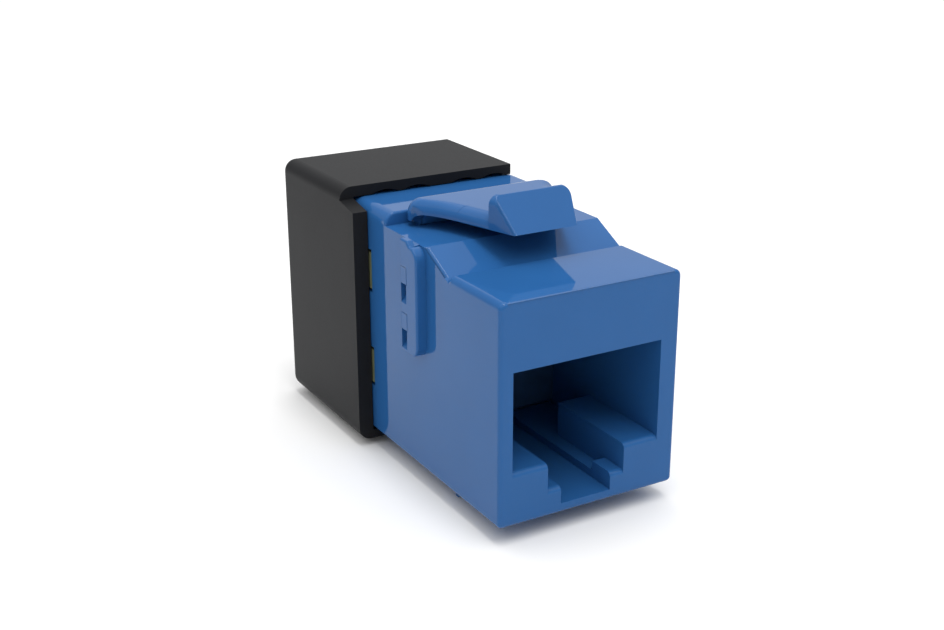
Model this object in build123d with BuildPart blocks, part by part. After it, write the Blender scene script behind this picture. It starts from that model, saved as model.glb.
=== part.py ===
from build123d import *
import os

# Keystone jack: a snap-in modular socket for an eight-wire plug, with a
# push-on wire cap at the back.
# Millimetres. X = 0 is the middle of the body, Y = 0 is the front face with
# +Y towards the cable, Z = 0 is the underside of the body.

os.makedirs("parts", exist_ok=True)

# Body
body_width = 14.5
body_height = 16.1
half_width = body_width / 2
block_depth = 6.5          # flat top of the front block ends here
valley_y = 7.15            # foot of the ramp
valley_z = 15.75
ramp_top_y = 10.1
mid_z = 17.2               # raised middle of the body, under the latch
step_y = 16.1              # front of the rear collar
collar_z = 18.15
body_depth = 22.4
wall = 1.05
overcut = 1.0              # how far cuts run past the faces that they open
top_edge_radius = 0.5
collar_radius = 0.9
collar_lip_radius = 0.2
front_edge_radius = 0.3
bottom_edge_radius = 0.4

# Plug port, a little left of the middle
port_x = -0.25
port_width = 11.95
port_top = 11.24
port_depth = 13.2          # the carrier's plate closes the port here
ledge_z = 4.0
ledge_back = 8.3
notch_width = 6.3
catch_z = 2.05
catch_depth = 2.2
platform_z = 1.35
slot_width = 4.1
slot_z = 0.77
lead_in_radius = 0.4

# Chamber over the port for the contacts, and the cavity at the back
chamber_width = 10.0
chamber_front = 3.65
chamber_top = 15.2
chamber_overlap = 0.3      # how far the chamber starts below the port's top
cavity_front = 18.5
cavity_bottom = 0.9
cavity_top = 17.2
window_low = (3.75, 6.95)
window_high = (11.4, 14.75)

# Panel lugs on the sides, and the fixed hook under the body
lug_proud = 0.8
lug_embed = 0.2
lug_front = 9.9
lug_back = 12.3
lug_bottom = 9.05
lug_corner_radius = 0.9
lug_edge_radius = 0.15
left_lug_top = 17.1
right_lug_top = 15.9
crest_front = 10.9
crest_top = 17.45
crest_slope = 0.4
crest_width = 0.5
crest_radius = 0.15
pocket_depth = 0.55
pocket_front = 11.38
pocket_back = 12.15
pocket_height = 0.8
pocket_slope = 0.65        # height of the sloped sill under each pocket
pocket_bottoms = (13.42, 9.98)
hook_width = 12.0
hook_front = 6.0
hook_tip = 7.75
hook_back = 8.1
hook_drop = 1.3
hook_embed = 0.2

# Snap latch, a little right of the middle
latch_x = 0.32
latch_leg = 1.2            # thickness of the upright leg at the root
latch_thickness = 1.0      # thickness of the arm
latch_top = 19.2
knuckle_gap = 0.05
knuckle_radius = latch_leg / 2
latch_back = step_y - knuckle_gap
latch_pivot_y = latch_back - knuckle_radius
latch_pivot_z = 17.65
latch_root_width = 12.15
latch_arm_width = 10.35
knuckle_width = 10.6
latch_front_width = 5.2
latch_outer_bend = 0.85
leg_corner_radius = 1.1
latch_inner_bend = 0.4
latch_edge_radius = 0.95
tab_front = 6.4
tab_back = 8.65
tab_top = 20.63
tab_ridge = 0.25
tab_corner_radius = 0.7
tab_lip_radius = 0.12

# Spring contacts
contact_count = 8
contact_pitch = 1.016
contact_width = 0.45
contact_thickness = 0.3
contact_root = (18.45, 12.9)
contact_knee = (13.6, 12.9)
contact_apex = (7.3, 8.8)
contact_tip = (4.7, 10.9)
contact_bend = 0.9

# Contact carrier
carrier_width = 9.8
carrier_front = 3.75
carrier_back = 18.45
carrier_top = 15.1
carrier_roof = 14.45
comb_back = 6.4
comb_bottom = 10.5
comb_rib = 0.38
comb_chamfer = 0.4
guide_front = 13.2
guide_bottom = 11.35
guide_roof = 14.0
guide_slot = 0.62
plate_play = 0.1
plate_thickness = 1.0

# Circuit board
board_front = 18.56
board_thickness = 1.6
board_half = 6.1
board_bottom = 1.0
board_top = 17.1
board_ear = 7.2
ear_gap = 0.25
board_hole_width = 0.8
board_hole_height = 0.65

# Terminal block and its insulation-piercing contacts
block_left = -6.1
block_right = 5.65
block_front = 20.2
block_slab_back = 24.2
tower_back = 30.4
tower_height = 5.6
tower_chamfer = 0.5
block_key = 0.1            # how far the ears start inside the slab
block_ear_back = 22.3
wire_slot = 1.0
blade_rows = (14.4, 3.7)
blade_offsets = (-4.35, -1.95, 1.95, 4.35)
blade_width = 1.5
blade_thickness = 0.45
blade_back = 28.8
blade_root = 20.9
blade_fork = 25.6
blade_gap = 0.35
blade_mouth = 0.6          # length of the fork's flared mouth
blade_pin = 0.6
blade_pin_front = 18.66
blade_play = 0.04

# Wire cap
cap_left = -8.5
cap_right = 6.5
cap_top = 19.05
cap_bottom = -0.75
cap_back = 32.4
cap_top_front = 21.15
cap_side_front = 18.87
cap_side_play = 0.08
cap_back_wall = 1.1
cap_right_wall = 0.75
cap_right_front = 22.55
cap_edge_radius = 1.0
tongue_top_front = 17.65
tongue_top_back = 18.1
arch_positions = (-4.65, -1.95, 2.25, 4.95)
arch_width = 2.2
arch_height = 0.5
arch_depth = 3.5
cable_hole_radius = 3.1
cable_hole_z = 9.1
prong_width = 0.8
prong_height = 1.5
prong_offset = 1.35        # from the blade to the middle of a prong
prong_front = 27.4


def save(builder, name):
    builder.part.label = name
    export_step(builder.part, f"parts/{name}.step")


def block_between(low, high, mode=Mode.ADD):
    """Rectangular block from one corner to the opposite one."""
    size = [b - a for a, b in zip(low, high)]
    middle = [(a + b) / 2 for a, b in zip(low, high)]
    with Locations(tuple(middle)):
        Box(*size, mode=mode)


def add_lug(side, top):
    """Lug on the left (-1) or right (1) of the body, round at its two front corners."""
    start = -half_width - lug_proud if side < 0 else half_width - lug_embed
    with BuildSketch(Plane.YZ.offset(start)) as outline:
        with Locations(((lug_front + lug_back) / 2, (lug_bottom + top) / 2)):
            Rectangle(lug_back - lug_front, top - lug_bottom)
        fillet(outline.vertices().group_by(Axis.X)[0], radius=lug_corner_radius)
    extrude(outline.sketch, amount=lug_proud + lug_embed)


def cut_pocket(side, bottom):
    """Pocket in the outer face of a lug, with a sill that slopes up and outwards."""
    face = half_width + lug_proud
    with BuildSketch(Plane.XZ.offset(-pocket_front)) as outline:
        with BuildLine():
            Polyline(
                (side * (face + overcut), bottom - pocket_slope),
                (side * face, bottom - pocket_slope),
                (side * (face - pocket_depth), bottom),
                (side * (face - pocket_depth), bottom + pocket_height),
                (side * (face + overcut), bottom + pocket_height),
                close=True,
            )
        make_face()
    extrude(outline.sketch, amount=pocket_front - pocket_back, mode=Mode.SUBTRACT)


# Front housing: one blue moulding

with BuildPart() as front_housing:
    with BuildSketch(Plane.YZ.offset(-half_width)):
        with BuildLine():
            Polyline(
                (0, 0),
                (0, body_height),
                (block_depth, body_height),
                (valley_y, valley_z),
                (ramp_top_y, mid_z),
                (step_y, mid_z),
                (step_y, collar_z),
                (body_depth, collar_z),
                (body_depth, 0),
                close=True,
            )
        make_face()
    extrude(amount=body_width)

    # Rounded edges: collar, top, front corners and underside
    outline_edges = [
        edge
        for edge in front_housing.edges()
        if abs(abs(edge.center().X) - half_width) < 0.01
    ]
    collar_sides = [edge for edge in outline_edges if edge.center().Z > collar_z - 0.01]
    top_sides = [
        edge
        for edge in outline_edges
        if valley_z - 0.1 < edge.center().Z < mid_z + 0.1 and 0.1 < edge.center().Y < step_y - 0.1
    ]
    fillet(collar_sides, radius=collar_radius)
    collar_lip = [
        edge
        for edge in front_housing.edges()
        if abs(edge.center().Y - step_y) < 0.01 and edge.center().Z > collar_z - collar_radius
    ]
    fillet(collar_lip, radius=collar_lip_radius)
    fillet(top_sides, radius=top_edge_radius)
    front_corners = front_housing.edges().filter_by(Axis.Z).group_by(Axis.Y)[0]
    fillet(front_corners, radius=front_edge_radius)
    lower_edges = front_housing.edges().filter_by(Axis.Y).group_by(Axis.Z)[0]
    fillet(lower_edges, radius=bottom_edge_radius)

    # Lugs on both sides: the left one reaches the top and ends in a crest
    add_lug(-1, left_lug_top)
    with BuildSketch(Plane.YZ.offset(-half_width - lug_proud)) as crest:
        with BuildLine():
            Polyline(
                (crest_front, left_lug_top - crest_slope),
                (crest_front, left_lug_top),
                (crest_front + crest_slope, crest_top),
                (lug_back, crest_top),
                (lug_back, left_lug_top - crest_slope),
                close=True,
            )
        make_face()
        fillet(crest.vertices().group_by(Axis.Y)[-1], radius=crest_radius)
    extrude(amount=crest_width)
    add_lug(1, right_lug_top)
    lug_rims = [
        edge
        for edge in front_housing.edges()
        if abs(abs(edge.center().X) - half_width - lug_proud) < 0.01
        and edge.center().Y < lug_back - 0.01
    ]
    fillet(lug_rims, radius=lug_edge_radius)
    for side in (-1, 1):
        for z in pocket_bottoms:
            cut_pocket(side, z)

    # Fixed hook: a ramp that ends in a catch
    with BuildSketch(Plane.YZ.offset(-hook_width / 2)):
        with BuildLine():
            Polyline(
                (hook_front, hook_embed),
                (hook_front, 0),
                (hook_tip, -hook_drop),
                (hook_back, -hook_drop),
                (hook_back, hook_embed),
                close=True,
            )
        make_face()
    extrude(amount=hook_width)

    # Plug port with its stepped floor
    with BuildSketch(Plane.XZ):
        with Locations((port_x, (ledge_z + port_top) / 2)):
            Rectangle(port_width, port_top - ledge_z)
        with Locations((port_x, (catch_z + ledge_z) / 2)):
            Rectangle(notch_width, ledge_z - catch_z)
        with Locations((port_x, (slot_z + catch_z) / 2)):
            Rectangle(slot_width, catch_z - slot_z)
    extrude(amount=-cavity_front, mode=Mode.SUBTRACT)
    block_between(
        (port_x - notch_width / 2, catch_depth, platform_z),
        (port_x + notch_width / 2, cavity_front, catch_z),
        mode=Mode.SUBTRACT,
    )
    block_between(
        (port_x - port_width / 2, ledge_back, platform_z),
        (port_x + port_width / 2, cavity_front, ledge_z),
        mode=Mode.SUBTRACT,
    )
    lead_in_edges = [
        edge
        for edge in front_housing.edges().filter_by(Axis.X)
        if abs(edge.center().Y) < 0.01
        and (abs(edge.center().Z - ledge_z) < 0.01 or abs(edge.center().Z - catch_z) < 0.01)
    ]
    fillet(lead_in_edges, radius=lead_in_radius)

    # Chamber for the contacts over the port, open to the back
    block_between(
        (port_x - chamber_width / 2, chamber_front, port_top - chamber_overlap),
        (port_x + chamber_width / 2, cavity_front, chamber_top),
        mode=Mode.SUBTRACT,
    )

    # Cavity for the circuit board and the terminal block
    block_between(
        (wall - half_width, cavity_front, cavity_bottom),
        (half_width - wall, body_depth, cavity_top),
        mode=Mode.SUBTRACT,
    )
    for low, high in (window_low, window_high):
        block_between(
            (-half_width - overcut, cavity_front, low),
            (half_width + overcut, body_depth, high),
            mode=Mode.SUBTRACT,
        )

    # Round seat for the root of the latch
    with BuildSketch(Plane.YZ.offset(latch_x - knuckle_width / 2 - knuckle_gap)):
        with Locations((latch_pivot_y, latch_pivot_z)):
            Circle(knuckle_radius + knuckle_gap)
    extrude(amount=knuckle_width + 2 * knuckle_gap, mode=Mode.SUBTRACT)

save(front_housing, "front_housing")

# Snap latch: an arm that narrows from a broad leg towards its wedge-shaped tab

latch_under = latch_top - latch_thickness
latch_leg_front = latch_back - latch_leg
taper = (latch_arm_width - latch_front_width) / (latch_leg_front - tab_front)
tab_width = latch_front_width + taper * (tab_back - tab_front)

with BuildPart() as snap_latch:
    with BuildSketch(Plane.XY.offset(latch_under)):
        with BuildLine():
            Polyline(
                (latch_x - tab_width / 2, tab_back),
                (latch_x + tab_width / 2, tab_back),
                (latch_x + latch_arm_width / 2, latch_leg_front),
                (latch_x - latch_arm_width / 2, latch_leg_front),
                close=True,
            )
        make_face()
    extrude(amount=latch_thickness)
    arm_edges = [
        edge
        for edge in snap_latch.edges()
        if edge.center().Z > latch_top - 0.01 and abs(edge.center().X - latch_x) > 1
    ]
    fillet(arm_edges, radius=latch_edge_radius)

    # Leg, broader than the arm and round along its back rim
    with BuildSketch(Plane.XZ.offset(-latch_leg_front)) as leg_outline:
        with Locations((latch_x, (latch_pivot_z + latch_top) / 2)):
            Rectangle(latch_root_width, latch_top - latch_pivot_z)
        fillet(leg_outline.vertices().group_by(Axis.Y)[-1], radius=leg_corner_radius)
    extrude(amount=-latch_leg)
    leg_rim = [
        edge
        for edge in snap_latch.edges()
        if abs(edge.center().Y - latch_back) < 0.01 and edge.center().Z > latch_pivot_z + 0.01
    ]
    fillet(leg_rim, radius=latch_outer_bend)
    inner_bend = [
        edge
        for edge in snap_latch.edges().filter_by(Axis.X)
        if abs(edge.center().Y - latch_leg_front) < 0.01
        and abs(edge.center().Z - latch_under) < 0.01
    ]
    fillet(inner_bend, radius=latch_inner_bend)

    # Knuckle that turns in the seat of the body
    with BuildSketch(Plane.YZ.offset(latch_x - knuckle_width / 2)):
        with Locations((latch_pivot_y, latch_pivot_z)):
            Circle(knuckle_radius)
    extrude(amount=knuckle_width)

    # Tab with round upper corners, sliced to a ramp
    with BuildSketch(Plane.XY.offset(latch_under)):
        with BuildLine():
            Polyline(
                (latch_x - latch_front_width / 2, tab_front),
                (latch_x + latch_front_width / 2, tab_front),
                (latch_x + tab_width / 2, tab_back),
                (latch_x - tab_width / 2, tab_back),
                close=True,
            )
        make_face()
    extrude(amount=tab_top - latch_under)
    tab_corners = [
        edge
        for edge in snap_latch.edges()
        if edge.center().Z > tab_top - 0.01 and abs(edge.center().X - latch_x) > 1
    ]
    fillet(tab_corners, radius=tab_corner_radius)
    ramp_run = tab_back - tab_ridge - tab_front
    ramp_rise = tab_top - latch_under
    split(
        bisect_by=Plane(origin=(0, tab_front, latch_under), z_dir=(0, -ramp_rise, ramp_run)),
        keep=Keep.BOTTOM,
    )
    tab_lips = [
        edge
        for edge in snap_latch.edges()
        if edge.center().Y < (tab_front + tab_back) / 2 and edge.center().Z > latch_under + 0.1
    ]
    fillet(tab_lips, radius=tab_lip_radius)

save(snap_latch, "snap_latch")

# Contact carrier: a roof with a slotted guide at the back and a comb at the
# front, which keep the eight contacts apart, and a plate that ends the port

contact_xs = [
    port_x + (index - (contact_count - 1) / 2) * contact_pitch for index in range(contact_count)
]
gap_xs = [
    port_x + (index - contact_count / 2 + 1) * contact_pitch for index in range(contact_count - 1)
]

with BuildPart() as contact_carrier:
    block_between(
        (port_x - carrier_width / 2, carrier_front, carrier_roof),
        (port_x + carrier_width / 2, carrier_back, carrier_top),
    )
    block_between(
        (port_x - carrier_width / 2, guide_front, guide_bottom),
        (port_x + carrier_width / 2, carrier_back, carrier_roof),
    )
    plate_back = port_depth + plate_thickness
    block_between(
        (port_x - port_width / 2 + plate_play, port_depth, platform_z + plate_play),
        (port_x + port_width / 2 - plate_play, plate_back, port_top - plate_play),
    )
    block_between(
        (port_x - carrier_width / 2, port_depth, port_top - plate_play),
        (port_x + carrier_width / 2, plate_back, guide_bottom),
    )
    for x in contact_xs:
        block_between(
            (x - guide_slot / 2, guide_front, guide_bottom),
            (x + guide_slot / 2, carrier_back, guide_roof),
            mode=Mode.SUBTRACT,
        )
    for x in gap_xs:
        block_between(
            (x - comb_rib / 2, carrier_front, comb_bottom),
            (x + comb_rib / 2, comb_back, carrier_roof),
        )
    for side in (-1, 1):
        cheek = port_x + side * (contact_count / 2 * contact_pitch + comb_rib / 2)
        block_between(
            (cheek - comb_rib, carrier_front, comb_bottom),
            (cheek + comb_rib, comb_back, carrier_roof),
        )
    comb_tips = contact_carrier.edges().filter_by(Axis.X).group_by(Axis.Z)[0].group_by(Axis.Y)[0]
    chamfer(comb_tips, length=comb_chamfer)

save(contact_carrier, "contact_carrier")

# Spring contacts: eight gold-plated strips from the board into the port

for number, x in enumerate(contact_xs, start=1):
    with BuildPart() as spring_contact:
        with BuildSketch(Plane.YZ.offset(x - contact_width / 2)):
            with BuildLine() as contact_line:
                FilletPolyline(
                    contact_root, contact_knee, contact_apex, contact_tip, radius=contact_bend
                )
            trace(contact_line.line, line_width=contact_thickness)
        extrude(amount=contact_width)
    save(spring_contact, f"spring_contact_{number}")

# Circuit board: its four ears reach through the slots in the body's sides

blade_xs = [port_x + offset for offset in blade_offsets]

with BuildPart() as circuit_board:
    with BuildSketch(Plane.XZ.offset(-board_front)):
        with Locations((0, (board_bottom + board_top) / 2)):
            Rectangle(2 * board_half, board_top - board_bottom)
        for low, high in (window_low, window_high):
            with Locations((0, (low + high) / 2)):
                Rectangle(2 * board_ear, high - low - 2 * ear_gap)
        for z in blade_rows:
            with Locations(*[(x, z) for x in blade_xs]):
                Rectangle(board_hole_width, board_hole_height, mode=Mode.SUBTRACT)
    extrude(amount=-board_thickness)

save(circuit_board, "circuit_board")

# Terminal block: a slab behind the board and two rows of slotted towers

with BuildPart() as terminal_block:
    block_between(
        (block_left, block_front, board_bottom), (block_right, block_slab_back, board_top)
    )
    block_between(
        (block_left, block_slab_back, board_top - tower_height),
        (block_right, tower_back, board_top),
    )
    block_between(
        (block_left, block_slab_back, board_bottom),
        (block_right, tower_back, board_bottom + tower_height),
    )
    tower_tops = [
        edge
        for edge in terminal_block.edges().filter_by(Axis.X)
        if abs(edge.center().Y - tower_back) < 0.01
    ]
    chamfer(tower_tops, length=tower_chamfer)

    # Ears that key into the slots of the body behind the board
    for low, high in (window_low, window_high):
        for side in (-1, 1):
            near = block_left + block_key if side < 0 else block_right - block_key
            far = side * board_ear
            block_between(
                (min(near, far), block_front, low + 2 * ear_gap),
                (max(near, far), block_ear_back, high - 2 * ear_gap),
            )

    # Wire slots, open at the back and at the top or bottom
    for x in blade_xs:
        for low, high in (
            (board_top - tower_height - overcut, board_top + overcut),
            (board_bottom - overcut, board_bottom + tower_height + overcut),
        ):
            block_between(
                (x - wire_slot / 2, blade_fork, low),
                (x + wire_slot / 2, tower_back + overcut, high),
                mode=Mode.SUBTRACT,
            )
        for z in blade_rows:
            block_between(
                (
                    x - blade_width / 2 - blade_play,
                    blade_root - blade_play,
                    z - blade_thickness / 2 - blade_play,
                ),
                (
                    x + blade_width / 2 + blade_play,
                    blade_back + blade_play,
                    z + blade_thickness / 2 + blade_play,
                ),
                mode=Mode.SUBTRACT,
            )
            block_between(
                (
                    x - blade_pin / 2 - blade_play,
                    block_front - overcut,
                    z - blade_thickness / 2 - blade_play,
                ),
                (
                    x + blade_pin / 2 + blade_play,
                    blade_root,
                    z + blade_thickness / 2 + blade_play,
                ),
                mode=Mode.SUBTRACT,
            )

save(terminal_block, "terminal_block")

# Insulation-piercing contacts: flat forks with a pin through the board

number = 0
for z in blade_rows:
    for x in blade_xs:
        number += 1
        with BuildPart() as idc_contact:
            with BuildSketch(Plane.XY.offset(z - blade_thickness / 2)):
                with BuildLine():
                    Polyline(
                        (x - blade_pin / 2, blade_pin_front),
                        (x + blade_pin / 2, blade_pin_front),
                        (x + blade_pin / 2, blade_root),
                        (x + blade_width / 2, blade_root),
                        (x + blade_width / 2, blade_back),
                        (x + blade_gap, blade_back),
                        (x + blade_gap / 2, blade_back - blade_mouth),
                        (x + blade_gap / 2, blade_fork),
                        (x - blade_gap / 2, blade_fork),
                        (x - blade_gap / 2, blade_back - blade_mouth),
                        (x - blade_gap, blade_back),
                        (x - blade_width / 2, blade_back),
                        (x - blade_width / 2, blade_root),
                        (x - blade_pin / 2, blade_root),
                        close=True,
                    )
                make_face()
            extrude(amount=blade_thickness)
        save(idc_contact, f"idc_contact_{number}")

# Wire cap: a black cover that pushes on from behind

cap_inner_left = -half_width - cap_side_play
cap_inner_right = cap_right - cap_right_wall
cap_inner_top = collar_z + cap_side_play
cap_inner_bottom = -cap_side_play
cap_inner_back = cap_back - cap_back_wall

with BuildPart() as wire_cap:
    block_between((cap_left, cap_side_front, cap_bottom), (cap_right, cap_back, cap_top))
    left_side = [
        edge
        for edge in wire_cap.edges().filter_by(Axis.Y)
        if abs(edge.center().X - cap_left) < 0.01
    ]
    back_rim = [
        edge
        for edge in wire_cap.edges()
        if abs(edge.center().Y - cap_back) < 0.01 and abs(edge.center().X - cap_right) > 0.01
    ]
    fillet(left_side + back_rim, radius=cap_edge_radius)

    # The top wall starts further back than the side and the bottom
    with BuildSketch(Plane.YZ.offset(cap_left - overcut)):
        with BuildLine():
            Polyline(
                (cap_side_front - overcut, tongue_top_front),
                (cap_side_front, tongue_top_front),
                (cap_top_front, tongue_top_back),
                (cap_top_front, cap_top + overcut),
                (cap_side_front - overcut, cap_top + overcut),
                close=True,
            )
        make_face()
    extrude(amount=cap_right - cap_left + 2 * overcut, mode=Mode.SUBTRACT)

    # Hollow, and the right-hand wall cut back behind the body
    block_between(
        (cap_inner_left, cap_side_front - overcut, cap_inner_bottom),
        (cap_inner_right, cap_inner_back, cap_inner_top),
        mode=Mode.SUBTRACT,
    )
    block_between(
        (cap_inner_right - overcut, cap_side_front - overcut, cap_inner_bottom),
        (cap_right + overcut, cap_right_front, cap_inner_top),
        mode=Mode.SUBTRACT,
    )

    # Arches at the front edges, where the trimmed wires come out
    for level in (cap_inner_top, cap_inner_bottom):
        outward = 1 if level > 0 else -1
        front = cap_top_front if level > 0 else cap_side_front
        rise_radius = (arch_width**2 / 4 + arch_height**2) / (2 * arch_height)
        with BuildSketch(Plane.XZ.offset(-front + overcut)):
            for x in arch_positions:
                with Locations((x, level + outward * (arch_height - rise_radius))):
                    Circle(rise_radius)
            with Locations((0, level - outward * rise_radius)):
                Rectangle(4 * half_width, 2 * rise_radius, mode=Mode.SUBTRACT)
        extrude(amount=-arch_depth - overcut, mode=Mode.SUBTRACT)

    # Prongs that push each wire into its fork, above and below the blade
    for x in blade_xs:
        for z in blade_rows:
            for side in (-1, 1):
                block_between(
                    (
                        x - prong_width / 2,
                        prong_front,
                        z + side * prong_offset - prong_height / 2,
                    ),
                    (
                        x + prong_width / 2,
                        cap_inner_back + cap_back_wall / 2,
                        z + side * prong_offset + prong_height / 2,
                    ),
                )

    # Cable entry
    with BuildSketch(Plane.XZ.offset(-cap_back - overcut)):
        with Locations((port_x, cable_hole_z)):
            Circle(cable_hole_radius)
    extrude(amount=cap_back_wall + 2 * overcut, mode=Mode.SUBTRACT)

save(wire_cap, "wire_cap")
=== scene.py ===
"""Looks of the keystone jack: finishes of its pieces, studio and camera."""

import math

import bmesh
import bpy
import numpy as np
from bpy.props import FloatProperty, FloatVectorProperty, IntProperty, PointerProperty
from mathutils import Matrix, Vector


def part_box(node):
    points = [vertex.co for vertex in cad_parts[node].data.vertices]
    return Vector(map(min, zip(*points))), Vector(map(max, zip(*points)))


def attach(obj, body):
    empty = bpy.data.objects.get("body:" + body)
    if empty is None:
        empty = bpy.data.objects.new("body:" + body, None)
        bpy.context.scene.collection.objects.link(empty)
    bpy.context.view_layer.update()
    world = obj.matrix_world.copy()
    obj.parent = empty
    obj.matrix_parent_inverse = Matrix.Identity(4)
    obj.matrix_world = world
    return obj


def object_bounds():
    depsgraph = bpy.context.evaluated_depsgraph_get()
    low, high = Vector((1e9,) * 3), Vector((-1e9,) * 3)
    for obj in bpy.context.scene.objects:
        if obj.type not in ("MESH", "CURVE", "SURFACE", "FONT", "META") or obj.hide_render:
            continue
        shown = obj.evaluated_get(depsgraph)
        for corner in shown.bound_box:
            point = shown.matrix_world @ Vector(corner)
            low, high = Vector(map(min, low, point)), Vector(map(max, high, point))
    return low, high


bl_info = {
    "name": "Keystone jack",
    "version": (1, 0, 0),
    "blender": (4, 5, 0),
    "location": "3D View > Sidebar > Jack",
    "description": "Finishes the pieces of a keystone jack and sets up its studio",
    "category": "Object",
}

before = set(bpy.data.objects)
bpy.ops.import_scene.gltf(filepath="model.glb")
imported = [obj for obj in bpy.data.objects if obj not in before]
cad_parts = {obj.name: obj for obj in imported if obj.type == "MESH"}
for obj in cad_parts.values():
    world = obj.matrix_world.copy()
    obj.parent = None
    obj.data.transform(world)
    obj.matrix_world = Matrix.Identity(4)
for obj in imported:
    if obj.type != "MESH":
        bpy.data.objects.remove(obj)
CAD_LOW, CAD_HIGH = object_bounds()
MM = 0.001

# Nodes of the frame, by what they are made of
SPRING_CONTACTS = tuple(f"spring_contact_{number}" for number in range(1, 9))
WIRE_FORKS = tuple(f"idc_contact_{number}" for number in range(1, 9))

# A hair's breadth, by which tests of place may be out
HAIR = 0.02 * MM

# Angle past which two faces of a new piece meet in a sharp edge
SHARP_ANGLE = math.radians(35)

# How strongly the plastics' faces reflect
BLUE_IOR = 1.28
BLACK_IOR = 1.2
DULL_IOR = 1.3

# The ramp of the body: its left edge, where it starts and ends along Y, each with a soft
# passage, and the upward part of its normal, between two soft limits
RAMP_LEFT = -7.25 * MM
RAMP_START = (7.15 * MM, 7.3 * MM)
RAMP_END = (9.95 * MM, 10.1 * MM)
RAMP_LEAST_UP = (0.85, 0.87)
RAMP_MOST_UP = (0.93, 0.95)

# The body's front edge on top: where it lies, and the radius of its solid
BODY_TOP = 16.1 * MM
BODY_HALF_WIDTH = 7.25 * MM
FRONT_EDGE_RADIUS = 0.3 * MM

# The left lug: its outer face, the slope from its top up to the body's, its two pockets and
# the hollows over them
LUG_FACE = -8.05 * MM
LUG_SLOPE_REACH = (10.82 * MM, 12.25 * MM)
LUG_SLOPE_LOW = (-7.95 * MM, 17.09 * MM)
LUG_SLOPE_HIGH = (-7.2 * MM, 17.204 * MM)
LUG_SLOPE_ROOT = 17.0 * MM
POCKET_REACH = (11.38 * MM, 12.15 * MM)
POCKET_TOPS = (14.22 * MM, 10.78 * MM)
HOLLOW_HEIGHT = 1.25 * MM
HOLLOW_RIM = 0.1 * MM
HOLLOW_DEPTH = 0.07 * MM

# Arches at the front edge of the cap's top: their places along X, and their size
ARCH_PLACES = (-4.65 * MM, -1.95 * MM, 2.25 * MM, 4.95 * MM)
ARCH_WIDTH = 2.2 * MM
ARCH_HEIGHT = 0.5 * MM
CAP_TOP_FRONT = 21.15 * MM
CAP_TOP_UNDER = 18.23 * MM

# The latch: its middle, the top, underside and upper edge's radius of its arm, its plan, and
# the forward part of the normal of its tab's front, between soft limits
LATCH_X = 0.32 * MM
ARM_TOP = 19.2 * MM
ARM_UNDER = 18.2 * MM
ARM_EDGE = 0.95 * MM
TAB_FRONT = 6.4 * MM
TAB_HALF_WIDTH = 2.6 * MM
ARM_TAPER = 0.3047
LEG_HALF_WIDTH = 6.075 * MM
LEG_FRONT = 14.85 * MM
TAB_FORWARD = (-0.7, -0.6)


def arm_half_width(along):
    """Half of the arm's width at a place along Y, which grows evenly from the tab."""
    return TAB_HALF_WIDTH + ARM_TAPER * (along - TAB_FRONT)


# Sizes and colours that a user would change


class PlasticSettings(bpy.types.PropertyGroup):
    """Colours and gloss of the moulded pieces."""

    blue: FloatVectorProperty(
        name="Blue", description="Colour of the body and the latch",
        subtype="COLOR", size=3, min=0, max=1, default=(0.0215, 0.106, 0.3),
    )
    blue_roughness: FloatProperty(
        name="Blue roughness", description="Roughness of the polished blue faces",
        min=0, max=1, default=0.035,
    )
    black: FloatVectorProperty(
        name="Black", description="Colour of the wire cap",
        subtype="COLOR", size=3, min=0, max=1, default=(0.012, 0.0125, 0.014),
    )
    black_roughness: FloatProperty(
        name="Black roughness", description="Roughness of the wire cap",
        min=0, max=1, default=0.42,
    )
    # Dark navy, well under the body's blue: partly the carrier's own dark moulding, partly
    # painted shade for the deep port it sits in
    carrier: FloatVectorProperty(
        name="Carrier", description="Colour of the contact carrier",
        subtype="COLOR", size=3, min=0, max=1, default=(0.02, 0.06, 0.14),
    )
    ramp_radius: FloatProperty(
        name="Ramp radius", description="Radius that the shading gives the ramp's left edge",
        subtype="DISTANCE", unit="LENGTH", default=0.45 * MM,
    )
    tab_radius: FloatProperty(
        name="Tab radius", description="Radius that the shading gives the tab's left edge",
        subtype="DISTANCE", unit="LENGTH", default=0.3 * MM,
    )
    terminals: FloatVectorProperty(
        name="Terminal block", description="Colour of the terminal block",
        subtype="COLOR", size=3, min=0, max=1, default=(0.04, 0.04, 0.045),
    )


class MetalSettings(bpy.types.PropertyGroup):
    """Colours of the metal pieces and the circuit board."""

    gold: FloatVectorProperty(
        name="Gold", description="Plating of the spring contacts",
        subtype="COLOR", size=3, min=0, max=1, default=(0.83, 0.6, 0.24),
    )
    tin: FloatVectorProperty(
        name="Tin", description="Plating of the wire forks",
        subtype="COLOR", size=3, min=0, max=1, default=(0.68, 0.67, 0.64),
    )
    mask: FloatVectorProperty(
        name="Solder mask", description="Colour of the board's faces",
        subtype="COLOR", size=3, min=0, max=1, default=(0.02, 0.1, 0.05),
    )
    laminate: FloatVectorProperty(
        name="Laminate", description="Colour of the board's sawn edges",
        subtype="COLOR", size=3, min=0, max=1, default=(0.16, 0.17, 0.09),
    )


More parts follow.
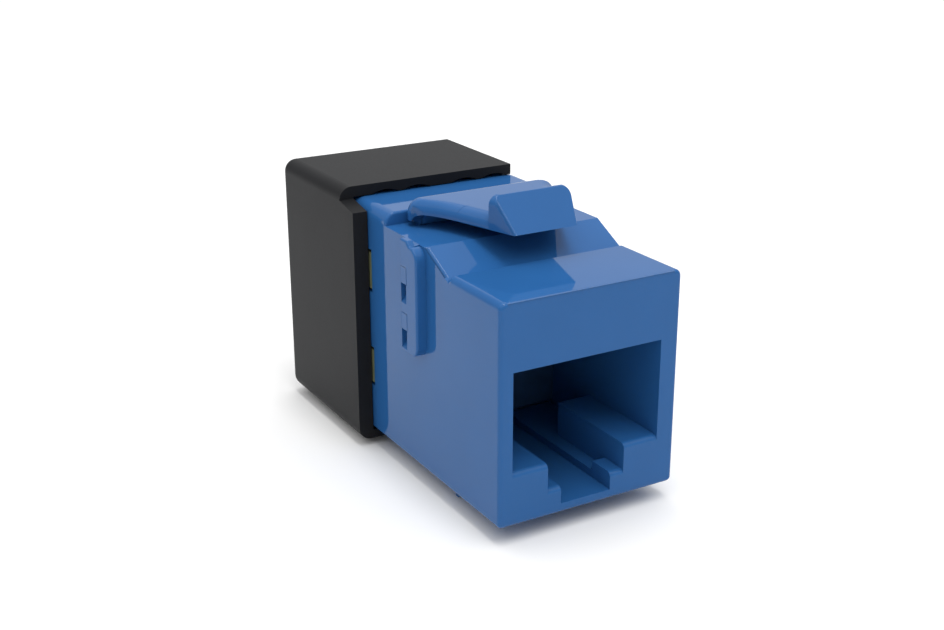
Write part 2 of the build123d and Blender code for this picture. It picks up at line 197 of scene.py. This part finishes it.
class LatchSettings(bpy.types.PropertyGroup):
    """Where the latch's arm widens into its leg."""

    flare_length: FloatProperty(
        name="Flare length", description="How far before the leg the arm starts to widen",
        subtype="DISTANCE", unit="LENGTH", default=3.2 * MM,
    )
    flare_power: FloatProperty(
        name="Flare power", description="How late the widening comes: the power of its curve",
        min=1, default=2.4,
    )
    bend_length: FloatProperty(
        name="Bend length", description="How far before the leg the underside starts to drop",
        subtype="DISTANCE", unit="LENGTH", default=0.8 * MM,
    )
    bend_drop: FloatProperty(
        name="Bend drop", description="How far the underside drops by the leg",
        subtype="DISTANCE", unit="LENGTH", default=0.5 * MM,
    )
    flare_sink: FloatProperty(
        name="Flare sink", description="How far the flare reaches into the leg and the arm",
        subtype="DISTANCE", unit="LENGTH", default=0.3 * MM,
    )
    flare_proud: FloatProperty(
        name="Flare proud", description="How far the flare's faces stand off the arm's",
        subtype="DISTANCE", unit="LENGTH", default=0.004 * MM,
    )
    flare_steps: IntProperty(
        name="Flare steps", description="Steps along the flare and round its edge",
        min=4, default=24,
    )


class CapSettings(bpy.types.PropertyGroup):
    """Arches at the front edge of the cap."""

    arch_rise: FloatProperty(
        name="Arch rise", description="Height that the lining leaves open in each arch",
        subtype="DISTANCE", unit="LENGTH", default=0.24 * MM,
    )
    lining_depth: FloatProperty(
        name="Lining depth", description="How far the lining of an arch runs back",
        subtype="DISTANCE", unit="LENGTH", default=3.4 * MM,
    )
    lining_steps: IntProperty(
        name="Lining steps", description="Points across the lining of an arch",
        min=5, default=25,
    )
    lining_sink: FloatProperty(
        name="Lining sink", description="How far the lining reaches into the cap",
        subtype="DISTANCE", unit="LENGTH", default=0.05 * MM,
    )
    lining_proud: FloatProperty(
        name="Lining proud", description="How far the lining stands off the cap's front",
        subtype="DISTANCE", unit="LENGTH", default=0.004 * MM,
    )


class StudioSettings(bpy.types.PropertyGroup):
    """Floor, light and camera."""

    floor_radius: FloatProperty(
        name="Floor radius", description="Radius of the round floor",
        subtype="DISTANCE", unit="LENGTH", default=3.0,
    )
    floor_tone: FloatProperty(
        name="Floor tone", description="How pale the floor is, from 0 for black to 1 for white",
        min=0, max=1, default=0.86,
    )
    floor_sides: IntProperty(
        name="Floor sides", description="Corners of the round floor",
        min=12, default=96,
    )
    floor_drop: FloatProperty(
        name="Floor drop", description="Gap between the lowest point and the floor",
        subtype="DISTANCE", unit="LENGTH", default=0.02 * MM,
    )
    dome: FloatProperty(
        name="Dome", description="Strength of the even light from all round",
        min=0, default=0.47,
    )
    key_power: FloatProperty(
        name="Key power", description="Power of the softbox overhead, in watts",
        min=0, default=1.3,
    )
    key_width: FloatProperty(
        name="Key width", description="Size of the softbox along X",
        subtype="DISTANCE", unit="LENGTH", default=0.14,
    )
    key_length: FloatProperty(
        name="Key length", description="Size of the softbox along Y",
        subtype="DISTANCE", unit="LENGTH", default=0.5,
    )
    key_height: FloatProperty(
        name="Key height", description="Height of the softbox over the floor",
        subtype="DISTANCE", unit="LENGTH", default=0.5,
    )
    key_forward: FloatProperty(
        name="Key forward", description="How far the softbox hangs towards the plug side",
        subtype="DISTANCE", unit="LENGTH", default=0.12,
    )
    key_right: FloatProperty(
        name="Key right", description="How far the softbox hangs to the right",
        subtype="DISTANCE", unit="LENGTH", default=0.0,
    )
    canopy_power: FloatProperty(
        name="Canopy power", description="Power of the wide soft light over everything, in watts",
        min=0, default=3.9,
    )
    canopy_size: FloatProperty(
        name="Canopy size", description="Side of the wide soft light",
        subtype="DISTANCE", unit="LENGTH", default=1.2,
    )
    canopy_height: FloatProperty(
        name="Canopy height", description="Height of the wide soft light over the floor",
        subtype="DISTANCE", unit="LENGTH", default=0.48,
    )
    panel_power: FloatProperty(
        name="Panel power", description="Power of the low panel behind the jack, in watts",
        min=0, default=1.1,
    )
    panel_width: FloatProperty(
        name="Panel width", description="Width of the low panel behind the jack",
        subtype="DISTANCE", unit="LENGTH", default=1.6,
    )
    panel_height: FloatProperty(
        name="Panel height", description="Height of the low panel behind the jack",
        subtype="DISTANCE", unit="LENGTH", default=0.7,
    )
    panel_distance: FloatProperty(
        name="Panel distance", description="How far behind the jack the low panel stands",
        subtype="DISTANCE", unit="LENGTH", default=1.0,
    )
    lens: FloatProperty(
        name="Lens", description="Focal length on a sensor 36 mm wide",
        subtype="DISTANCE_CAMERA", unit="CAMERA", default=51.56,
    )
    camera_place: FloatVectorProperty(
        name="Camera place", description="Where the camera stands",
        subtype="TRANSLATION", unit="LENGTH", size=3,
        default=(-48.893 * MM, -68.459 * MM, 44.74 * MM),
    )
    camera_yaw: FloatProperty(
        name="Camera yaw", description="Turn of the view from +Y towards +X",
        subtype="ANGLE", unit="ROTATION", default=math.radians(30.042),
    )
    camera_pitch: FloatProperty(
        name="Camera pitch", description="How far the view points down",
        subtype="ANGLE", unit="ROTATION", default=math.radians(20.088),
    )
    camera_roll: FloatProperty(
        name="Camera roll", description="Turn of the picture about the view",
        subtype="ANGLE", unit="ROTATION", default=math.radians(-0.118),
    )


# Shader maths


class Wire:
    """A socket of a node tree that takes part in Python expressions."""

    def __init__(self, tree, socket):
        self.tree = tree
        self.socket = socket

    def node(self, kind, settings=(), output=0, **values):
        """Adds a node of that kind. Settings come first, then sockets by name or place."""
        node = self.tree.nodes.new(kind)
        for name, value in dict(settings).items():
            setattr(node, name, value)
        for name, value in values.items():
            key = int(name[1:]) if name[1:].isdigit() else name.replace("_", " ")
            socket = node.inputs[key]
            if isinstance(value, Wire):
                self.tree.links.new(value.socket, socket)
            else:
                socket.default_value = value
        return Wire(self.tree, node.outputs[output])

    def math(self, operation, other=0.0):
        """Result of a Math node on this number and another one."""
        return self.node("ShaderNodeMath", {"operation": operation}, _0=self, _1=other)

    def __add__(self, other):
        return self.math("ADD", other)

    def __sub__(self, other):
        return self.math("SUBTRACT", other)

    def __rsub__(self, other):
        return self.node("ShaderNodeMath", {"operation": "SUBTRACT"}, _0=other, _1=self)

    def __mul__(self, other):
        return self.math("MULTIPLY", other)

    __radd__ = __add__
    __rmul__ = __mul__

    def between(self, low, high):
        """Runs smoothly from 0 at low to 1 at high."""
        return self.node(
            "ShaderNodeMapRange", {"interpolation_type": "SMOOTHSTEP"},
            Value=self, From_Min=low, From_Max=high,
        )

    def blend(self, first, second):
        """Colour between first, where this is 0, and second, where it is 1."""
        return self.node(
            "ShaderNodeMix", {"data_type": "RGBA"}, output=2, _0=self, _6=first, _7=second
        )

    def noise(self, scale, detail=3.0, roughness=0.5):
        """Noise of that many cells to a metre, read at this point."""
        return self.node(
            "ShaderNodeTexNoise", Vector=self, Scale=scale, Detail=detail, Roughness=roughness
        )

    def bump(self, distance, **normal):
        """Normal of a surface raised by this height times distance."""
        return self.node("ShaderNodeBump", Height=self, Distance=distance, **normal)

    def vector(self, operation, other=(0.0, 0.0, 0.0), **scale):
        """Result of a Vector Math node on this vector, another one and a scale."""
        return self.node(
            "ShaderNodeVectorMath", {"operation": operation}, _0=self, _1=other, **scale
        )

    def axes(self):
        """The three parts of this vector."""
        node = self.tree.nodes.new("ShaderNodeSeparateXYZ")
        self.tree.links.new(self.socket, node.inputs[0])
        return [Wire(self.tree, output) for output in node.outputs]


def colour(rgb):
    """Three parts of a colour as the four that a socket takes."""
    return (*rgb, 1.0)


def tinted(rgb, factor):
    """A colour made darker or lighter by a factor."""
    return colour([factor * part for part in rgb])


def new_material(name):
    """An empty material: its tree, the place on the object, and its shader's sockets."""
    material = bpy.data.materials.new(name)
    material.use_nodes = True
    tree = material.node_tree
    shader = next(node for node in tree.nodes if node.type == "BSDF_PRINCIPLED")
    coordinates = tree.nodes.new("ShaderNodeTexCoord")
    place = Wire(tree, coordinates.outputs["Object"])

    def connect(**values):
        for name, value in values.items():
            socket = shader.inputs[name.replace("_", " ")]
            if isinstance(value, Wire):
                tree.links.new(value.socket, socket)
            else:
                socket.default_value = value

    return material, place, connect


def finish_nodes(names, material):
    """Gives CAD nodes one material in all their slots."""
    for name in names:
        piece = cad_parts[name]
        piece.data.materials.clear()
        piece.data.materials.append(material)


# Materials


def rounded_left_edge(place, facing, distance, radius, mask):
    """Normal that leans out towards -X along an edge, as on a round one.

    At a share t of the way across the last stretch before the edge, which is as long as
    the radius, t / sqrt(1 - t * t) of -X is added to the face's own normal.
    """
    share = (1 - distance * (1 / radius)).math("MAXIMUM", 0.0).math("MINIMUM", 0.98)
    lean = share * (1 - share * share).math("POWER", -0.5) * mask
    aside = place.node("ShaderNodeCombineXYZ", X=-1 * lean)
    return place.node(
        "ShaderNodeVectorTransform",
        {"vector_type": "NORMAL", "convert_from": "OBJECT", "convert_to": "WORLD"},
        Vector=facing.vector("ADD", aside).vector("NORMALIZE"),
    )


def body_edges(place, radius):
    """The body's normal, with a round left edge on its ramp and a sharp front edge on top."""
    across, along, up = place.axes()
    facing = place.node("ShaderNodeTexCoord", output=1)
    steepness = facing.axes()[2]

    # The small fillet along the front edge on top is shaded as two flat halves
    upward = steepness.math("GREATER_THAN", math.sqrt(0.5))
    crisp = place.node("ShaderNodeCombineXYZ", Y=upward - 1, Z=upward)
    reach = FRONT_EDGE_RADIUS
    on_edge = (
        along.math("LESS_THAN", reach)
        * up.math("GREATER_THAN", BODY_TOP - reach)
        * across.math("ABSOLUTE").math("LESS_THAN", BODY_HALF_WIDTH - 2 * reach)
    )
    facing = facing.vector("ADD", crisp.vector("SUBTRACT", facing).vector("SCALE", Scale=on_edge))

    on_ramp = steepness.between(*RAMP_LEAST_UP) * (1 - steepness.between(*RAMP_MOST_UP))
    in_reach = (
        along.between(*RAMP_START) * (1 - along.between(*RAMP_END))
        * across.math("GREATER_THAN", RAMP_LEFT - HAIR)
    )
    edges = rounded_left_edge(place, facing, across - RAMP_LEFT, radius, on_ramp * in_reach)
    return lug_hollows(place, edges)


def lug_hollows(place, normal):
    """Shallow hollows over the pockets of the left lug, with soft rims."""
    across, along, up = place.axes()
    front, back = POCKET_REACH
    in_reach = (
        along.between(front - HOLLOW_RIM, front) * (1 - along.between(back, back + HOLLOW_RIM))
    )
    depth = 0.0
    for low in POCKET_TOPS:
        high = low + HOLLOW_HEIGHT
        over = up.between(low - HOLLOW_RIM, low)
        under = 1 - up.between(high - HOLLOW_RIM, high + HOLLOW_RIM)
        depth = depth + over * under
    on_face = across.math("LESS_THAN", LUG_FACE + HAIR)
    return (-1 * (depth * in_reach * on_face)).bump(HOLLOW_DEPTH, Normal=normal)


def tab_edge(place, radius):
    """The latch's normal, with a round left edge on the sloping front of its tab."""
    across, along, up = place.axes()
    facing = place.node("ShaderNodeTexCoord", output=1)
    on_tab = 1 - facing.axes()[1].between(*TAB_FORWARD)
    distance = across - (LATCH_X - arm_half_width(along))
    return rounded_left_edge(place, facing, distance, radius, on_tab)


def blue_plastic(plastics, name, edge, radius):
    """Polished blue moulding: faint clouds of pigment and a trace of mould texture."""
    material, place, connect = new_material(name)
    clouds = place.noise(260.0, 4.0)
    flow = place.noise(1400.0, 2.0)
    skin = place.noise(5200.0, 2.0)
    connect(
        Base_Color=clouds.blend(tinted(plastics.blue, 0.94), tinted(plastics.blue, 1.06)),
        Roughness=plastics.blue_roughness + 0.04 * flow.between(0.35, 0.75),
        Normal=skin.bump(0.3e-6, Normal=edge(place, radius)),
        IOR=BLUE_IOR,
    )
    return material


def black_plastic(plastics):
    """Black moulding with a fine dull grain."""
    material, place, connect = new_material("black_plastic")
    clouds = place.noise(300.0, 3.0)
    grain = place.noise(9000.0, 3.0, 0.6)
    connect(
        Base_Color=clouds.blend(tinted(plastics.black, 0.85), tinted(plastics.black, 1.2)),
        Roughness=plastics.black_roughness + 0.1 * grain,
        Normal=grain.bump(0.5e-6),
        IOR=BLACK_IOR,
    )
    return material


def dull_plastic(name, rgb, roughness):
    """Dull inner moulding, slightly mottled where the melt met."""
    material, place, connect = new_material(name)
    mottle = place.noise(800.0, 4.0)
    grain = place.noise(7000.0, 2.0)
    connect(
        Base_Color=mottle.blend(tinted(rgb, 0.8), tinted(rgb, 1.25)),
        Roughness=roughness + 0.12 * (mottle - 0.5),
        Normal=grain.bump(1.5e-6),
        IOR=DULL_IOR,
    )
    return material


def plated_metal(name, rgb, roughness, rolled):
    """Plated strip: fine lines of the rolled sheet along Y, and a faint tarnish.

    The lines are noise that is squeezed across the strip, with a height of rolled metres.
    """
    material, place, connect = new_material(name)
    across, along, up = place.axes()
    lines = place.node(
        "ShaderNodeCombineXYZ", X=across * 30.0, Y=along * 1.5, Z=up * 30.0
    ).noise(900.0, 2.0)
    tarnish = place.noise(600.0, 4.0).between(0.45, 0.8)
    connect(
        Base_Color=tarnish.blend(colour(rgb), tinted(rgb, 0.8)),
        Metallic=1.0,
        Roughness=roughness + 0.1 * tarnish + 0.06 * lines,
        Normal=lines.bump(rolled),
    )
    return material


def board_laminate(metals):
    """Green mask on the board's two faces, and layered glass cloth on its sawn edges."""
    material, place, connect = new_material("board_laminate")
    low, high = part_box("circuit_board")
    across, along, up = place.axes()
    skin = 0.06 * MM
    front_face = along.between(low.y + 2 * skin, low.y + skin)
    back_face = along.between(high.y - 2 * skin, high.y - skin)
    face = front_face + back_face
    layers = (along * 3800.0).math("FRACT").between(0.35, 0.65)
    fray = place.noise(6000.0, 3.0)
    edge = (0.7 * layers + 0.3 * fray).blend(
        tinted(metals.laminate, 0.55), tinted(metals.laminate, 1.3)
    )
    connect(
        Base_Color=face.blend(edge, colour(metals.mask)),
        Roughness=0.32 + 0.3 * (1 - face),
        Normal=(fray * (1 - face)).bump(8e-6),
    )
    return material


# New pieces


def flare_sections(side, latch):
    """Closed sections, one after the other along Y, where the arm widens into its leg.

    At a share u of the way to the leg, the half-width is the arm's own plus w * u ** p,
    which starts along the arm's side. The underside drops by d * (1 - sqrt(1 - v * v)) at a
    share v of the last stretch before the leg, a quarter of an ellipse. The upper edge of
    each section is a quarter circle, and its root is sunk into the arm.
    """
    root = 1.3 * ARM_EDGE
    way = np.linspace(0.0, 1.0, latch.flare_steps)
    along = LEG_FRONT - latch.flare_length * (1 - way)
    along = np.append(along, LEG_FRONT + latch.flare_sink)
    arm = np.array([arm_half_width(y) for y in along])
    spread = LEG_HALF_WIDTH - arm_half_width(LEG_FRONT)
    widening = np.append(spread * way**latch.flare_power, LEG_HALF_WIDTH - arm[-1])
    half = arm + widening + latch.flare_proud
    last = np.clip(1 - (LEG_FRONT - along) / latch.bend_length, 0.0, 1.0)
    drop = latch.bend_drop * (1 - np.sqrt(1 - last**2))
    turn = np.linspace(0.0, math.pi / 2, latch.flare_steps)
    sections = []
    for y, outer, inner, fall in zip(along, half, arm, drop):
        top, under = ARM_TOP + latch.flare_proud, ARM_UNDER - latch.flare_proud - fall
        x = outer - ARM_EDGE * (1 - np.cos(turn))
        z = top - ARM_EDGE * (1 - np.sin(turn))
        sunk = inner - root
        x = np.concatenate([[outer], x, [sunk, sunk - latch.flare_sink, sunk - latch.flare_sink]])
        z = np.concatenate([[under], z, [top, top - latch.flare_sink, under]])
        sections.append(np.stack([LATCH_X + side * x, np.full(len(x), y), z], axis=-1))
    return np.array(sections)


def lug_slope():
    """Two closed sections of a thin wedge that joins the left lug's top to the body's."""
    corners = np.array([LUG_SLOPE_LOW, LUG_SLOPE_HIGH, (LUG_SLOPE_HIGH[0], LUG_SLOPE_ROOT)])
    return np.array([np.insert(corners, 1, y, axis=1) for y in LUG_SLOPE_REACH])


def arch_lining(place, cap):
    """Two closed sections of a lining that makes one arch of the cap shallower.

    An arch of rise h over a width w is part of a circle of radius (w * w / 4 + h * h) / (2 * h).
    The section runs back along the low arch and forth along the cap's own arch, a little
    inside the cap.
    """
    across = np.linspace(-ARCH_WIDTH / 2, ARCH_WIDTH / 2, cap.lining_steps)

    def arch(rise):
        """Heights along an arch of that rise."""
        radius = (ARCH_WIDTH**2 / 4 + rise**2) / (2 * rise)
        return CAP_TOP_UNDER + rise - radius + np.sqrt(radius**2 - across**2)

    x = place + np.concatenate([across, across[::-1]])
    z = np.concatenate([arch(cap.arch_rise), arch(ARCH_HEIGHT)[::-1] + cap.lining_sink])
    front = CAP_TOP_FRONT - cap.lining_proud
    return np.array([
        np.stack([x, np.full(len(x), y), z], axis=-1) for y in (front, front + cap.lining_depth)
    ])


def lofted(sections):
    """Vertices and faces of a closed skin over sections with equal numbers of points.

    Each side of a section is joined to the same side of the next one by a quad.
    """
    count, points = sections.shape[:2]
    this = np.arange(points)
    after = (this + 1) % points
    first = points * np.arange(count - 1)[:, None]
    quads = np.stack(
        [first + this, first + after, first + points + after, first + points + this], axis=-1
    )
    faces = quads.reshape(-1, 4).tolist()
    faces += [this[::-1].tolist(), ((count - 1) * points + this).tolist()]
    return sections.reshape(-1, 3), faces


def mesh_piece(name, vertices, faces, material, smooth=True):
    """A mesh object with its place in its mesh."""
    mesh = bpy.data.meshes.new(name)
    mesh.from_pydata(vertices.tolist(), [], faces)
    mesh.polygons.foreach_set("use_smooth", np.full(len(mesh.polygons), smooth))
    mesh.materials.append(material)
    mesh.update()
    piece = bpy.data.objects.new(name, mesh)
    bpy.context.scene.collection.objects.link(piece)
    return piece


def closed_piece(name, sections, material):
    """A smooth piece over closed sections, with its faces outwards and its hard edges sharp."""
    piece = mesh_piece(name, *lofted(sections), material)
    shell = bmesh.new()
    shell.from_mesh(piece.data)
    bmesh.ops.recalc_face_normals(shell, faces=shell.faces)
    shell.to_mesh(piece.data)
    shell.free()
    piece.data.set_sharp_from_angle(angle=SHARP_ANGLE)
    return piece


def area_light(name, power, width, length, place, towards):
    """A rectangular light of that power in watts, which shines one way."""
    light = bpy.data.lights.new(name, "AREA")
    light.shape = "RECTANGLE"
    light.energy, light.size, light.size_y = power, width, length
    holder = bpy.data.objects.new(name, light)
    holder.location = place
    holder.rotation_euler = towards.to_track_quat("-Z", "Y").to_euler()
    bpy.context.scene.collection.objects.link(holder)


class JACK_OT_body(bpy.types.Operator):
    """Finish the body in polished blue, and join its left lug's top to its own"""

    bl_idname = "jack.body"
    bl_label = "Body"

    def execute(self, context):
        plastics = context.scene.jack_plastics
        blue = blue_plastic(plastics, "blue_body", body_edges, plastics.ramp_radius)
        finish_nodes(("front_housing",), blue)
        slope = closed_piece("lug_slope", lug_slope(), blue)
        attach(slope, "housing")
        return {"FINISHED"}


class JACK_OT_latch(bpy.types.Operator):
    """Finish the snap latch in polished blue, and widen its arm into its leg"""

    bl_idname = "jack.latch"
    bl_label = "Snap latch"

    def execute(self, context):
        plastics = context.scene.jack_plastics
        blue = blue_plastic(plastics, "blue_latch", tab_edge, plastics.tab_radius)
        finish_nodes(("snap_latch",), blue)
        for side, name in ((-1, "latch_flare_left"), (1, "latch_flare_right")):
            flare = closed_piece(name, flare_sections(side, context.scene.jack_latch), blue)
            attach(flare, "latch")
        return {"FINISHED"}


class JACK_OT_cap(bpy.types.Operator):
    """Finish the wire cap in black, and line the arches at its front edge"""

    bl_idname = "jack.cap"
    bl_label = "Wire cap"

    def execute(self, context):
        black = black_plastic(context.scene.jack_plastics)
        finish_nodes(("wire_cap",), black)
        for number, place in enumerate(ARCH_PLACES, start=1):
            sections = arch_lining(place, context.scene.jack_cap)
            lining = closed_piece(f"cap_arch_lining_{number}", sections, black)
            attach(lining, "cap")
        return {"FINISHED"}


class JACK_OT_inner_mouldings(bpy.types.Operator):
    """Finish the contact carrier and the terminal block"""

    bl_idname = "jack.inner_mouldings"
    bl_label = "Carrier and terminal block"

    def execute(self, context):
        plastics = context.scene.jack_plastics
        # The carrier's dark navy is partly its own colour and partly painted shade for the deep
        # port
        carrier = dull_plastic("carrier_plastic", plastics.carrier, 0.45)
        terminals = dull_plastic("terminal_plastic", plastics.terminals, 0.5)
        finish_nodes(("contact_carrier",), carrier)
        finish_nodes(("terminal_block",), terminals)
        return {"FINISHED"}


class JACK_OT_board(bpy.types.Operator):
    """Finish the circuit board"""

    bl_idname = "jack.board"
    bl_label = "Circuit board"

    def execute(self, context):
        finish_nodes(("circuit_board",), board_laminate(context.scene.jack_metals))
        return {"FINISHED"}


class JACK_OT_contacts(bpy.types.Operator):
    """Finish the gold spring contacts and the tinned wire forks"""

    bl_idname = "jack.contacts"
    bl_label = "Contacts"

    def execute(self, context):
        metals = context.scene.jack_metals
        finish_nodes(SPRING_CONTACTS, plated_metal("gold_plating", metals.gold, 0.16, 0.6e-6))
        finish_nodes(WIRE_FORKS, plated_metal("tin_plating", metals.tin, 0.28, 1e-6))
        return {"FINISHED"}


class JACK_OT_studio(bpy.types.Operator):
    """Set up the pale floor, the soft light and the camera"""

    bl_idname = "jack.studio"
    bl_label = "Studio"

    def execute(self, context):
        studio = context.scene.jack_studio
        level = CAD_LOW.z - studio.floor_drop
        centre = (CAD_LOW + CAD_HIGH) / 2

        paper, place, connect = new_material("studio_paper")
        mottle = place.noise(30.0, 3.0)
        connect(
            Base_Color=mottle.blend(
                colour([studio.floor_tone - 0.01] * 3), colour([studio.floor_tone + 0.01] * 3)
            ),
            Roughness=0.9,
            Specular_IOR_Level=0.0,
        )
        angles = np.linspace(0.0, 2 * math.pi, studio.floor_sides, endpoint=False)
        rim = np.stack(
            [
                centre.x + studio.floor_radius * np.cos(angles),
                centre.y + studio.floor_radius * np.sin(angles),
                np.full(len(angles), level),
            ],
            axis=-1,
        )
        floor = mesh_piece("floor", rim, [list(range(len(angles)))], paper, smooth=False)

        world = bpy.data.worlds.new("studio_dome")
        world.use_nodes = True
        background = world.node_tree.nodes["Background"]
        background.inputs["Color"].default_value = (1.0, 1.0, 1.0, 1.0)
        background.inputs["Strength"].default_value = studio.dome
        context.scene.world = world

        away = Vector((math.sin(studio.camera_yaw), math.cos(studio.camera_yaw), 0.0))
        over = Vector((centre.x, centre.y, level))
        down = Vector((0.0, 0.0, -1.0))
        area_light(
            "softbox", studio.key_power, studio.key_width, studio.key_length,
            over + Vector((studio.key_right, -studio.key_forward, studio.key_height)), down,
        )
        area_light(
            "canopy", studio.canopy_power, studio.canopy_size, studio.canopy_size,
            over + Vector((0.0, 0.0, studio.canopy_height)), down,
        )
        behind = studio.panel_distance * away + Vector((0.0, 0.0, studio.panel_height / 2))
        area_light(
            "panel", studio.panel_power, studio.panel_width, studio.panel_height,
            over + behind, -away,
        )

        camera = bpy.data.cameras.new("camera")
        camera.sensor_width = 36.0
        camera.lens = studio.lens
        camera.clip_start = 0.005
        camera.clip_end = 50.0
        yaw, pitch, roll = studio.camera_yaw, studio.camera_pitch, studio.camera_roll
        forward = Vector(
            (math.sin(yaw) * math.cos(pitch), math.cos(yaw) * math.cos(pitch), -math.sin(pitch))
        )
        right = Vector((math.cos(yaw), -math.sin(yaw), 0.0))
        up = right.cross(forward)
        right, up = (
            math.cos(roll) * right + math.sin(roll) * up,
            math.cos(roll) * up - math.sin(roll) * right,
        )
        holder = bpy.data.objects.new("camera", camera)
        holder.matrix_world = Matrix.Translation(studio.camera_place) @ Matrix(
            (right, up, -forward)
        ).transposed().to_4x4()
        context.scene.collection.objects.link(holder)
        context.scene.camera = holder
        context.scene.view_settings.view_transform = "Standard"
        return {"FINISHED"}


OPERATORS = (
    JACK_OT_body,
    JACK_OT_latch,
    JACK_OT_cap,
    JACK_OT_inner_mouldings,
    JACK_OT_board,
    JACK_OT_contacts,
    JACK_OT_studio,
)


class JACK_PT_panel(bpy.types.Panel):
    """Buttons for the jack's pieces and its studio"""

    bl_idname = "JACK_PT_panel"
    bl_label = "Keystone jack"
    bl_space_type = "VIEW_3D"
    bl_region_type = "UI"
    bl_category = "Jack"

    def draw(self, context):
        for operator in OPERATORS:
            self.layout.operator(operator.bl_idname)


SETTINGS = {
    "jack_plastics": PlasticSettings,
    "jack_metals": MetalSettings,
    "jack_latch": LatchSettings,
    "jack_cap": CapSettings,
    "jack_studio": StudioSettings,
}


def register():
    for name, group in SETTINGS.items():
        bpy.utils.register_class(group)
        setattr(bpy.types.Scene, name, PointerProperty(type=group))
    for operator in OPERATORS:
        bpy.utils.register_class(operator)
    bpy.utils.register_class(JACK_PT_panel)


def unregister():
    bpy.utils.unregister_class(JACK_PT_panel)
    for operator in reversed(OPERATORS):
        bpy.utils.unregister_class(operator)
    for name, group in SETTINGS.items():
        delattr(bpy.types.Scene, name)
        bpy.utils.unregister_class(group)


def main():
    register()
    for operator in OPERATORS:
        area, name = operator.bl_idname.split(".")
        getattr(getattr(bpy.ops, area), name)()


if __name__ == "__main__":
    main()
